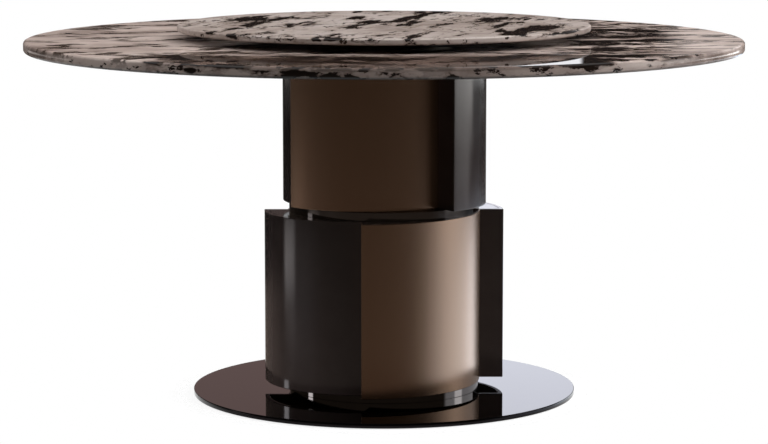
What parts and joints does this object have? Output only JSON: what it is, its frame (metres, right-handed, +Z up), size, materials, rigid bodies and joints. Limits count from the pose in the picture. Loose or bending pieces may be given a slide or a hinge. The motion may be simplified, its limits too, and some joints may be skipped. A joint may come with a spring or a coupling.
{
  "type": "round dining table",
  "caption": "Round marble dining table with a spinning marble turntable, on a pedestal of stacked off-centre drums in dark lacquer and brushed bronze, on a mirror-dark base plate.",
  "frame": {"origin": "on the floor, at the axis of the table", "axes": "+Z up, along the turntable's spin axis; the side seen in the picture looks towards -Y, with +X to its right"},
  "size_m": [1.4998, 1.4998, 0.78],
  "materials": {
    "marble": "polished",
    "dark_lacquer": "gloss",
    "bronze_sheet": "satin",
    "black_mirror_steel": "polished",
    "polished_band": "polished",
    "black_steel": "matte",
    "zinc_steel": "satin",
    "board": "matte",
    "black_rubber": "matte",
    "silicone": "matte",
    "brass": "satin",
    "bearing_aluminium": "satin",
    "bearing_steel": "polished",
    "nylon": "matte"
  },
  "bodies": {
    "table": {"base_plate": "black_mirror_steel", "bearing_base": "bearing_aluminium", "bearing_feet": "silicone", "cap_screws": "zinc_steel", "column_tube": "black_steel", "cushion_pads": "silicone", "floor_pads": "black_rubber", "foot_bolts": "zinc_steel", "foot_flange": "black_steel", "head_bolts": "zinc_steel", "head_flange": "black_steel", "lower_bronze_panel_front": "bronze_sheet", "lower_bronze_panel_rear": "bronze_sheet", "lower_cap": "dark_lacquer", "lower_cross_ribs": "board", "lower_dark_panel_left": "dark_lacquer", "lower_dark_panel_right": "dark_lacquer", "lower_floor": "board", "lower_panel_screws": "zinc_steel", "lower_split_ribs": "board", "neck_band": "polished_band", "neck_core": "dark_lacquer", "pivot_pin": "bearing_steel", "plinth_band": "polished_band", "plinth_core": "board", "plinth_screws": "zinc_steel", "stone_inserts": "brass", "stone_screws": "zinc_steel", "support_plate": "black_steel", "tabletop": "marble", "tie_bolts": "zinc_steel", "tie_nuts": "zinc_steel", "upper_bronze_panel_front": "bronze_sheet", "upper_bronze_panel_rear": "bronze_sheet", "upper_cap": "dark_lacquer", "upper_cross_ribs": "board", "upper_dark_panel_left": "dark_lacquer", "upper_dark_panel_right": "dark_lacquer", "upper_floor": "board", "upper_panel_screws": "zinc_steel", "upper_split_ribs": "board"},
    "turntable": {"bearing_carrier": "bearing_aluminium", "pivot_bush": "nylon", "bonding_pads": "silicone", "turntable_disc": "marble"},
    "ball_ring": {"ball_cage": "nylon", "bearing_balls": "bearing_steel"}
  },
  "joints": [
    {"name": "turntable_spin", "type": "hinge", "parent": "table", "child": "turntable", "pos_m": [0, 0, 0.758], "axis": [0, 0, 1], "continuous": true},
    {"name": "ball_ring_spin", "type": "hinge", "parent": "table", "child": "ball_ring", "pos_m": [0, 0, 0.75875], "axis": [0, 0, 1], "continuous": true}
  ],
  "couplings": [
    {"joint": "ball_ring_spin", "follows": "turntable_spin", "ratio": 0.5}
  ]
}
